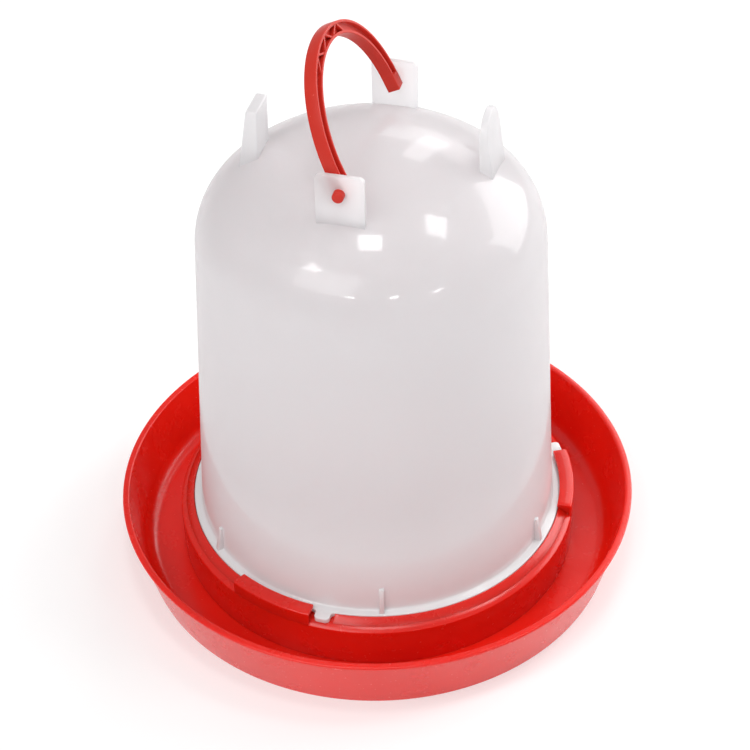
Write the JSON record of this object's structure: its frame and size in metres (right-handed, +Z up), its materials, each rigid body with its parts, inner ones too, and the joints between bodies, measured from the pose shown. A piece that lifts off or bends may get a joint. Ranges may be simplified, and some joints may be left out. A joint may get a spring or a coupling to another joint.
{
  "type": "poultry waterer",
  "caption": "Gravity-fed poultry drinker: translucent domed fount twist-locked onto a round drinking tray, with a swinging bail handle.",
  "frame": {"origin": "centre of the tray's foot, on the ground", "axes": "+Z up along the tray's axis, -Y towards the viewer, +X to the viewer's right"},
  "size_m": [0.35, 0.35, 0.3877],
  "materials": {
    "tray": "glossy moulded",
    "fount": "milky translucent",
    "handle": "satin moulded"
  },
  "bodies": {
    "tray": {"tray_floor": "tray", "tray_wall": "tray", "tray_collar": "tray"},
    "fount": {"fount_neck": "fount", "fount_wall": "fount", "fount_dome": "fount", "handle_ears": "fount", "filling_feet": "fount"},
    "handle": {"handle": "handle"}
  },
  "joints": [
    {"name": "twist_lock", "type": "hinge", "parent": "tray", "child": "fount", "pos_m": [0, 0, 0.0388], "axis": [0, 0, 1], "range_deg": [-22.5, 0]},
    {"name": "handle_swing", "type": "hinge", "parent": "fount", "child": "handle", "pos_m": [0, 0, 0.3242], "axis": [-0.2622, -0.965, 0], "range_deg": [-98, 50]}
  ]
}
